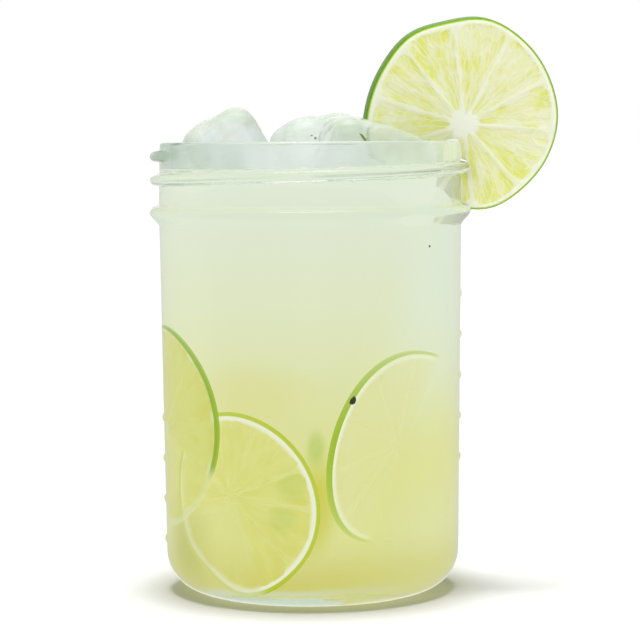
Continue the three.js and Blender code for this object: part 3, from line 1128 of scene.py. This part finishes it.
@dataclass(frozen=True)
class DrinkFinish:
    """The cloudy drink: a clear skin over a mist with a painted glow, emission that stands in for the light
    caught in it.
    """

    # Painted shade by height: whiter at the top, darker and yellower towards the floor
    top: Colour = tone(232, 241, 219)
    middle: Colour = tone(232, 238, 196)
    low: Colour = tone(228, 230, 153)
    floor: Colour = tone(214, 212, 124)
    painted_light_from_below: Colour = tone(210, 223, 202)
    thickness: float = 55.0
    ior: float = 1.34
    glass_ior: float = 1.5
    # heart_light: the share of the heart's colour that is painted glow; light_on_others: how much of the
    # painted glow falls on what stands round
    heart_light: float = 0.94
    light_on_others: float = 0.06
    stride: float = 6.0
    # Patches painted into the heart's glow: green and yellow ones of lime, a yellow one at the bottom, a
    # darker olive one low on the left, and paler ones on the right as painted light
    clouds: tuple[Cloud, ...] = (
        Cloud((1.5, -29.0, 26.0), (10.5, 12.0, 18.0), tone(204, 203, 0), 1.0),
        Cloud((-14.0, -27.0, 56.0), (20.0, 14.0, 10.0), tone(229, 226, 136), 0.55),
        Cloud((0.0, -20.0, 5.0), (30.0, 24.0, 8.0), tone(214, 208, 98), 0.7),
        Cloud((-34.0, -12.0, 15.0), (15.0, 18.0, 20.0), tone(172, 178, 70), 0.9),
        Cloud((30.0, -4.0, 14.0), (20.0, 26.0, 20.0), tone(217, 227, 208), 0.9),
        Cloud((34.0, -8.0, 72.0), (26.0, 26.0, 44.0), tone(225, 240, 228), 0.9),
        Cloud((1.0, -31.0, 42.0), (3.2, 8.0, 6.5), tone(160, 196, 30), 0.6),
        Cloud((-5.3, -30.6, 32.4), (5.4, 6.0, 6.4), tone(96, 176, 10), 1.0),
        Cloud((-7.3, -30.1, 23.7), (5.0, 6.0, 5.6), tone(104, 180, 16), 1.0),
    )

    @staticmethod
    def painted_height_shade() -> bpy.types.NodeTree:
        """The shared effect of painted shade by height, whiter at the top and darker yellow towards the
        bottom, built the first time.
        """
        name = "drink_layers"
        if name in bpy.data.node_groups:
            return bpy.data.node_groups[name]
        nodes, given, made = shared_effect(name, ("Floor", "Low", "Middle", "Top"), (), {"Colour": "Color"})
        height = nodes.part(nodes.here(), "Z")
        colour = given.outputs["Floor"]
        for low, high, above in ((0.003, 0.02, "Low"), (0.035, 0.08, "Middle"), (0.065, 0.11, "Top")):
            colour = nodes.blend(nodes.step(height, low, high), colour, given.outputs[above])
        nodes.feed(made.inputs["Colour"], colour)
        return nodes.tree

    def shade(self, nodes: Nodes, clouds: Sequence[Cloud] = ()) -> bpy.types.NodeSocket:
        """The drink's painted colour, painted shade from whitish at the top to darker yellow at the bottom.

        Args:
            nodes: the material's nodes.
            clouds: soft patches of other colours in it.

        Returns:
            The colour's socket.
        """
        colour = nodes.effect(self.painted_height_shade(), floor=self.floor, low=self.low, middle=self.middle,
                              top=self.top).outputs["Colour"]
        for cloud in clouds:
            nearer = nodes.add("VectorMath", operation="SUBTRACT")
            nodes.feed(nearer.inputs[0], nodes.here())
            nearer.inputs[1].default_value = Vector(cloud.centre) * MM
            span = nodes.add("VectorMath", operation="LENGTH")
            shrunk = nodes.scaled(nearer.outputs[0], [1 / (part * MM) for part in cloud.size])
            nodes.feed(span.inputs[0], shrunk)
            share = nodes.step(span.outputs["Value"], 0.25, 1.0, cloud.share, 0.0)
            colour = nodes.blend(share, colour, cloud.colour)
        return colour

    def near_light(self, nodes: Nodes, strength: float) -> bpy.types.NodeSocket:
        """The strength of the painted glow, weaker on what stands round the jar."""
        path = nodes.add("LightPath")
        on_others = strength * self.light_on_others
        return nodes.step(path.outputs["Is Diffuse Ray"], 0.0, 1.0, strength, on_others)

    def material(self) -> bpy.types.Material:
        """Makes the drink's material."""
        material, nodes, output = new_material("cloudy_drink")
        skin = nodes.principled({"Base Color": (1, 1, 1, 1), "Roughness": 0.0, "IOR": self.ior,
                                 "Transmission Weight": 1.0})
        bending = nodes.maths("MULTIPLY_ADD", nodes.attribute("in_glass").outputs["Fac"],
                              self.ior / self.glass_ior - self.ior, self.ior)
        nodes.feed(skin.inputs["IOR"], bending)
        dims = nodes.add("VolumeAbsorption")
        nodes.feed(dims.inputs["Color"], (0, 0, 0, 1))
        nodes.feed(dims.inputs["Density"], self.thickness)
        # Painted glow: the mist emits the drink's painted colour in place of scattered light
        lit = nodes.add("Emission")
        nodes.feed(lit.inputs["Color"], self.shade(nodes))
        nodes.feed(lit.inputs["Strength"], self.near_light(nodes, self.thickness))
        mist = nodes.add("AddShader")
        nodes.feed(mist.inputs[0], dims.outputs[0])
        nodes.feed(mist.inputs[1], lit.outputs[0])
        material.cycles.volume_step_rate = self.stride
        nodes.feed(output.inputs["Surface"], skin.outputs[0])
        nodes.feed(output.inputs["Volume"], mist.outputs[0])
        return material

    def heart_material(self, foot: float) -> bpy.types.Material:
        """Makes the milky heart's material, mostly painted glow.

        Args:
            foot: the height in metres of its underside, which gets a paler painted light from below the
                base.

        Returns:
            The material.
        """
        material, nodes, output = new_material("milky_heart")
        # Painted light: the underside is painted pale as if lit from below through the base
        painted_underside = nodes.step(nodes.part(nodes.here(), "Z"), foot + 0.0003, foot + 0.0016, 1.0, 0.0)
        shade = nodes.blend(painted_underside, self.shade(nodes, self.clouds), self.painted_light_from_below)
        # Painted glow: heart_light of the colour is emitted and the rest is lit by the lamps
        dim = nodes.blend(1.0, shade, (1 - self.heart_light,) * 3 + (1,), "MULTIPLY")
        lit = nodes.blend(1.0, shade, (self.heart_light,) * 3 + (1,), "MULTIPLY")
        surface = nodes.principled({"Base Color": dim, "Roughness": 0.9, "IOR": 1.0, "Emission Color": lit,
                                    "Emission Strength": self.near_light(nodes, 1.0)})
        nodes.feed(output.inputs["Surface"], surface.outputs[0])
        return material


@dataclass
class Drink:
    """The drink, which reaches just into the glass, and its milky heart, which carries the drink's painted
    glow.
    """

    level: float = 113.5
    meniscus: float = 0.6
    into_glass: float = 0.12
    into_ice: float = 0.15
    heart_radius: float = 31.0
    heart_top: float = 109.0
    heart_foot: float = 4.4
    heart_cuts: tuple[tuple[float, float, float], ...] = ((56.0, 10.6, 19.5),)
    finish: DrinkFinish = field(default_factory=DrinkFinish)

    def build(self, jar: Jar, cutters: Sequence[bpy.types.Object]) -> bpy.types.Object:
        """Makes the drink's body, cut round what stands in it."""
        wall = jar.inside(-self.into_glass, self.level + self.meniscus)
        edge = wall[-1][0]
        climb = ((0.05, 0.8), (0.35, 0.4), (0.9, 0.15), (1.9, 0.05), (4.0, 0.0))
        surface = [(edge - back, self.level + self.meniscus * share) for back, share in climb]
        surface += [(radius, self.level) for radius in (24.0, 12.0, 0.0)]
        body = spun("drink_body", [*wall, *surface], 160)
        cut(body, cutters)
        radii, heights = (np.array(part) for part in zip(*wall))
        mark_faces(body, "in_glass", lambda middles, normals: (normals[:, 2] < 0.3) & (
            (np.hypot(middles[:, 0], middles[:, 1]) > np.interp(middles[:, 2], heights, radii) - 0.1)
            | (middles[:, 2] < jar.base_thickness + jar.inner_heel_rounding)))
        smoothed(body, 30)
        dress(body, self.finish.material())
        hand_over(body, "drink", "drink")
        return body

    def build_heart(self) -> bpy.types.Object:
        """Makes the milky heart, an opaque body with the drink's painted glow, with flats behind the sunken
        wheels.
        """
        radius, soft = self.heart_radius, 7.0
        profile = [(0.0, self.heart_foot),
                   *corner(radius - soft, self.heart_foot + soft, soft, -90, 0, 8),
                   *corner(radius - soft, self.heart_top - soft, soft, 0, 90, 8),
                   (0.0, self.heart_top)]
        heart = spun("drink_heart", profile, 96)
        for bearing, lean, out in self.heart_cuts:
            turn, tip = math.radians(bearing), math.radians(lean)
            flat = Vector((math.sin(turn), -math.cos(turn), 0))
            normal = flat * math.cos(tip) - Vector((0, 0, 1)) * math.sin(tip)
            through = (flat * out + Vector((0, 0, 34))) * MM
            edited(heart, lambda: bpy.ops.mesh.bisect(plane_co=through, plane_no=normal,
                                                      use_fill=True, clear_outer=True))
        smoothed(heart, 30)
        dress(heart, self.finish.heart_material(self.heart_foot * MM))
        hand_over(heart, "drink")
        return heart


@dataclass(frozen=True)
class FilmFinish:
    """The milky film that the drink leaves on the glass, drawn as painted glow with painted shade at its
    left.
    """

    # Painted glow and shade: emitted colours, darker grey-green at the left as painted shade, whiter in the
    # middle and right
    left: Colour = tone(196, 214, 196)
    middle: Colour = tone(238, 246, 241)
    right: Colour = tone(234, 246, 224)
    cover: float = 0.32

    def material(self) -> bpy.types.Material:
        """Makes the material."""
        material, nodes, output = new_material("milky_film")
        here = nodes.here()
        runs = nodes.noise(nodes.scaled(here, (1.0, 1.0, 0.5)), 90.0, 2.0)
        across = nodes.maths("ADD", nodes.part(here, "X"), nodes.maths("MULTIPLY", runs, 0.008))
        colour = nodes.blend(nodes.step(across, -0.033, -0.004), self.left, self.middle)
        colour = nodes.blend(nodes.step(across, 0.008, 0.03), colour, self.right)
        # Painted glow: the film emits its colour, with base colour black
        surface = nodes.principled({
            "Base Color": (0, 0, 0, 1), "Roughness": 0.2, "IOR": 1.0, "Emission Color": colour,
            "Emission Strength": 1.0,
            "Alpha": nodes.step(runs, 0.3, 0.7, self.cover * 0.7, self.cover * 1.3)})
        nodes.feed(output.inputs["Surface"], surface.outputs[0])
        return material


@dataclass
class Film:
    """A film inside the neck, from the drink's surface nearly to the lip."""

    foot: float = 114.0
    head: float = 120.0
    into_glass: float = 0.03
    thickness: float = 0.1
    finish: FilmFinish = field(default_factory=FilmFinish)

    def build(self, jar: Jar) -> bpy.types.Object:
        """Makes the film as a thin ring."""
        outer = jar.neck_bore + self.into_glass
        inner = jar.neck_bore - self.thickness
        heights = np.linspace(self.foot, self.head, 6)
        profile = [(outer, float(h)) for h in heights] + [(inner, float(h)) for h in reversed(heights)]
        film = spun("drink_film", profile, 128, closed=True)
        smoothed(film)
        dress(film, self.finish.material())
        hand_over(film, "drink")
        return film


@dataclass(frozen=True)
class FleckFinish:
    """A scrap of green zest or a dark speck."""

    name: str
    pale: Colour
    deep: Colour

    def material(self) -> bpy.types.Material:
        """Makes the material."""
        material, nodes, output = new_material(self.name)
        mottle = nodes.step(nodes.noise(nodes.here(), 1500.0, 2.0), 0.35, 0.65)
        colour = nodes.blend(mottle, self.pale, self.deep)
        surface = nodes.principled({"Base Color": colour, "Roughness": 0.4})
        nodes.feed(output.inputs["Surface"], surface.outputs[0])
        return material


@dataclass
class Fleck:
    """A scrap that lies where a line straight back from the front meets its carrier."""

    name: str
    carrier: str
    slot: str
    across: float
    height: float
    size: tuple[float, float, float]
    turn: float
    finish: FleckFinish
    proud: float = 0.1

    def build(self) -> bpy.types.Object:
        """Makes the scrap on its carrier's surface."""
        carrier = bpy.data.objects[self.carrier]
        start = Vector((self.across, -80.0, self.height)) * MM
        met, place, normal, _ = carrier.ray_cast(start, Vector((0, 1, 0)))
        if not met:
            raise RuntimeError(f"{self.name} meets nothing on {self.carrier}")
        deselect()
        bpy.ops.mesh.primitive_ico_sphere_add(subdivisions=3, radius=MM)
        fleck = bpy.context.object
        fleck.name = self.name
        points = points_of(fleck)
        dent = np.sin(points @ np.array((5.0, 3.0, 4.0))) * np.cos(points @ np.array((2.0, 6.0, 1.0)))
        points = points * (1 + 0.12 * dent[:, None]) * np.array(self.size) / 2
        points[:, 1] += 0.25 * points[:, 0] ** 2 / max(self.size[0], 0.1)
        put_points(fleck, points)
        facing = normal.to_track_quat("Z", "Y").to_matrix().to_4x4()
        centre = place + normal * self.proud * MM
        turn = Matrix.Rotation(math.radians(self.turn), 4, "Z")
        placed(fleck, Matrix.Translation(centre) @ facing @ turn)
        smoothed(fleck, 60)
        dress(fleck, self.finish.material())
        hand_over(fleck, self.slot)
        return fleck


@dataclass
class Studio:
    """The floor, the light and the camera."""

    camera_place: tuple[float, float, float] = (0.0, -0.650, 0.12085)
    camera_yaw: float = 0.00375
    camera_pitch: float = 0.07387
    camera_roll: float = -0.00764
    lens: float = 135.36
    floor_size: float = 60.0
    screen_edge: tuple[float, float] = (0.14, 0.26)
    flanks: float = 0.62
    front_edge: tuple[float, float] = (-0.6, 0.3)
    front: float = 0.25
    ceiling_edge: tuple[float, float] = (0.94, 0.97)
    ceiling: float = 3.0
    horizon: tuple[float, float] = (-0.05, 0.05)
    fill_above: float = 0.06
    fill_below: float = 0.75
    light_paths: int = 11
    glossy_paths: int = 9
    clear_paths: int = 18

    def add_floor(self) -> None:
        """Lays a plain pale floor."""
        deselect()
        bpy.ops.mesh.primitive_plane_add(size=self.floor_size, location=(0, 0, -0.00005))
        floor = bpy.context.object
        floor.name = "floor"
        material, nodes, output = new_material("pale_floor")
        surface = nodes.principled({"Base Color": (0.9, 0.9, 0.9, 1), "Roughness": 0.7})
        nodes.feed(output.inputs["Surface"], surface.outputs[0])
        dress(floor, material)
        floor.visible_glossy = False
        floor.visible_transmission = False

    def add_world(self) -> None:
        """Sets a bright screen behind the jar, dimmer sides and the light that a wide floor sends up."""
        world = bpy.data.worlds.new("white_surround")
        bpy.context.scene.world = world
        world.use_nodes = True
        world.node_tree.nodes.clear()
        nodes = Nodes(world.node_tree)
        back = nodes.add("Background")
        nodes.feed(back.inputs["Color"], (1, 1, 1, 1))
        view = nodes.add("TexCoord").outputs["Generated"]
        aside, ahead, upward = (nodes.part(view, axis) for axis in "XYZ")
        screen = nodes.maths("MULTIPLY",
                             nodes.step(nodes.maths("ABSOLUTE", aside), *self.screen_edge, 1.0, self.flanks),
                             nodes.step(ahead, *self.front_edge, self.front, 1.0))
        screen = nodes.maths("ADD", screen, nodes.step(upward, *self.ceiling_edge, 0.0, self.ceiling))
        fill = nodes.step(upward, *self.horizon, self.fill_below, self.fill_above)
        path = nodes.add("LightPath")
        lit = nodes.add("Mix")
        for socket, value in zip(lit.inputs[:1] + lit.inputs[2:4],
                                 (path.outputs["Is Diffuse Ray"], screen, fill)):
            nodes.feed(socket, value)
        seen = nodes.maths("MAXIMUM", lit.outputs[0], path.outputs["Is Camera Ray"])
        nodes.feed(back.inputs["Strength"], seen)
        output = nodes.add("OutputWorld")
        nodes.feed(output.inputs["Surface"], back.outputs[0])
        world.cycles.sampling_method = "NONE"

    def add_sun(self, name: str, towards: Sequence[float], spread: float, strength: float) -> None:
        """Hangs a wide, soft lamp far away.

        Args:
            name: the lamp's name.
            towards: the direction from the jar to the lamp.
            spread: how wide it looks, in degrees.
            strength: how brightly it lights a white floor under it, 1 for full white.
        """
        light = bpy.data.lights.new(name, "SUN")
        light.angle = math.radians(spread)
        light.energy = strength * math.pi
        lamp = bpy.data.objects.new(name, light)
        bpy.context.scene.collection.objects.link(lamp)
        lamp.rotation_mode = "QUATERNION"
        lamp.rotation_quaternion = Vector(towards).to_track_quat("Z", "Y")
        lamp.visible_glossy = False
        lamp.visible_transmission = False

    def add_camera(self) -> None:
        """Sets the camera as the photograph has it."""
        camera = bpy.data.cameras.new("camera")
        camera.lens = self.lens
        camera.sensor_width = 36.0
        camera.clip_start, camera.clip_end = 0.01, 200.0
        yaw, pitch, roll = self.camera_yaw, self.camera_pitch, self.camera_roll
        ahead = Vector((math.sin(yaw) * math.cos(pitch), math.cos(yaw) * math.cos(pitch), -math.sin(pitch)))
        right = Vector((math.cos(yaw), -math.sin(yaw), 0))
        upward = right.cross(ahead)
        turned_right = right * math.cos(roll) + upward * math.sin(roll)
        turned_up = upward * math.cos(roll) - right * math.sin(roll)
        holder = bpy.data.objects.new("camera", camera)
        bpy.context.scene.collection.objects.link(holder)
        turn = Matrix((turned_right, turned_up, -ahead)).transposed().to_4x4()
        holder.matrix_world = Matrix.Translation(self.camera_place) @ turn
        bpy.context.scene.camera = holder

    def build(self) -> None:
        """Sets up the whole studio."""
        scene = bpy.context.scene
        scene.view_settings.view_transform = "Standard"
        self.add_floor()
        self.add_world()
        scene.cycles.max_bounces = self.light_paths
        scene.cycles.transmission_bounces = self.light_paths
        scene.cycles.glossy_bounces = self.glossy_paths
        scene.cycles.transparent_max_bounces = self.clear_paths
        self.add_sun("overhead", (0.0, 0.0, 1.0), spread=16.0, strength=1.1)
        self.add_sun("front", (-0.25, -1.0, 0.13), spread=30.0, strength=0.54)
        self.add_camera()


def ice_lumps() -> list[IceLump]:
    """The three lumps that stand out of the drink."""
    return [
        IceLump("ice_lump_left", "ice_left", (-20.8, -2.5, 116.6), (10.7, 11, 12.6), (4, -29, 6),
                squareness=4.2, melt=0.03, phase=0.4),
        IceLump("ice_lump_middle", "ice_middle", (2.8, 15.5, 115.3), (13.4, 10.5, 13), (-6, -7, -9),
                squareness=3.7, melt=0.04, phase=2.1),
        IceLump("ice_lump_right", "ice_right", (15.7, -15.6, 114.3), (15.1, 8.4, 11.9), (5, 15, 9),
                squareness=4.4, melt=0.035, phase=4.6),
    ]


def sunken_wheels() -> list[SunkenWheel]:
    """The lime wheels low in the drink."""
    # The sunken wheels are nearly all painted glow (lit 0.94): their colours are emitted, not lit by the
    # lamps
    clear = CutLimeFinish(
        name="sunken_lime", pulp_pale=tone(226, 226, 124), pulp_deep=tone(218, 216, 96),
        membrane=tone(246, 250, 228), zest_cut=tone(188, 202, 0), zest_side=tone(172, 194, 0), glow=0.0,
        lit=0.94, pulp_alpha=0.5, worn_alpha=0.3, membrane_share=0.1, sac_share=0.06, core=-1.5,
        zest_depth=1.0, pith_fades=(1.6, 2.8))
    faint = replace(
        clear, name="sunken_lime_faint", pulp_pale=tone(228, 230, 172), pulp_deep=tone(226, 226, 158),
        membrane=tone(244, 249, 220), zest_cut=tone(166, 196, 0), zest_side=tone(152, 188, 0),
        worn_alpha=0.0, membrane_share=0.0, sac_share=0.0, zest_depth=0.8, pith_fades=(1.4, 2.8))
    hazy = replace(
        faint, name="sunken_lime_hazy", pulp_pale=tone(217, 220, 122), pulp_deep=tone(213, 214, 104),
        membrane=tone(222, 230, 176), zest_cut=tone(150, 182, 0), zest_side=tone(142, 178, 0),
        zest_worn=tone(216, 226, 170), pulp_alpha=0.9, worn_alpha=0.4, core=0.5, zest_depth=0.9,
        pith_fades=(1.0, 2.2))
    front = LimeWheel("lime_slice_front", 22.9, 1.7, (21, 67, 104, 145, 190, 235, 275, 314, 352), clear,
                      hub=(-1.65, 2.0), hub_radius=1.2, membrane_width=0.4, pith=1.9, rounding=0.4,
                      waves=((0.045, 2, 230),), flat_foot=(0.07, 245), worn=(-120, 42), seed=7)
    right = LimeWheel("lime_slice_right", 26.2, 1.9, (10, 48, 85, 121, 158, 195, 231, 268, 300, 336), faint,
                      hub=(-0.5, 1.0), hub_radius=2.4, pith=2.2, rounding=0.4, waves=((0.008, 2, 20),),
                      worn=(-17, 80), seed=9)
    left = LimeWheel("lime_slice_left", 27.0, 2.0, (12, 50, 88, 125, 160, 198, 235, 272, 305, 340), hazy,
                     hub=(0.4, -0.8), hub_radius=2.4, pith=0.8, rounding=0.4, waves=((0.008, 2, 70),),
                     worn=(-80, 50), seed=11)
    behind = LimeWheel("lime_slice_behind", 18.0, 1.8, (5, 44, 84, 123, 162, 201, 240, 281, 322), faint,
                       hub=(0.3, 0.4), hub_radius=2.0, rounding=0.4, waves=((0.01, 2, 10),), seed=13)
    return [
        SunkenWheel(front, -33.9, 0.0, 34.4, 0.0, 27.5, Lie.ALONG_WALL),
        SunkenWheel(right, 56.0, 10.6, 24.0, 0.3, 40.1),
        SunkenWheel(left, -82.6, 0.0, 36.8, 0.0, 45.2, Lie.ALONG_WALL),
        SunkenWheel(behind, 90.0, 30.0, -3.5, -11.0, 27.0),
    ]


def flecks() -> list[Fleck]:
    """Scraps of zest and specks on the ice and in the drink."""
    green = FleckFinish("zest_scrap", tone(150, 176, 84), tone(108, 142, 44))
    dark = FleckFinish("dark_scrap", tone(70, 96, 40), tone(30, 58, 24))
    speck = FleckFinish("grey_speck", tone(110, 104, 118), tone(70, 66, 78))
    return [
        Fleck("zest_scrap_on_ice", "ice_lump_right", "lime", 13.9, 122.0, (2.6, 0.75, 0.5), 124.0, green),
        Fleck("speck_on_ice_a", "ice_lump_middle", "ice", 0.6, 122.6, (0.5, 0.4, 0.3), 20.0, speck),
        Fleck("speck_on_ice_b", "ice_lump_middle", "ice", 1.6, 121.9, (0.7, 0.5, 0.3), 60.0, speck),
        Fleck("zest_scrap_in_drink", "drink_body", "lime", 10.6, 54.6, (2.3, 1.5, 0.7), 60.0, dark, -0.9),
        Fleck("speck_in_drink", "drink_body", "drink", 30.2, 93.6, (0.7, 0.6, 0.4), 0.0, dark, -0.5),
    ]


def main() -> None:
    """Builds the drink in its jar from the inside out, and sets up the studio."""
    logging.basicConfig(level=logging.INFO, format="%(name)s: %(message)s")
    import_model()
    jar, rim_wheel, drink = Jar(), RimWheel(), Drink()
    lumps = ice_lumps()
    holes = [lump.shape(lump.name + "_hole", 5, -drink.into_ice) for lump in lumps]
    holes.append(rim_wheel.cutter(-drink.into_ice))
    drink.build(jar, holes)
    drink.build_heart()
    for sunken in sunken_wheels():
        sunken.build()
    ice = IceFinish().material(drink.finish)
    for lump in lumps:
        lump.build(ice)
    rim_wheel.build(jar)
    jar.build()
    Film().build(jar)
    for fleck in flecks():
        fleck.build()
    Studio().build()


if __name__ == "__main__":
    main()
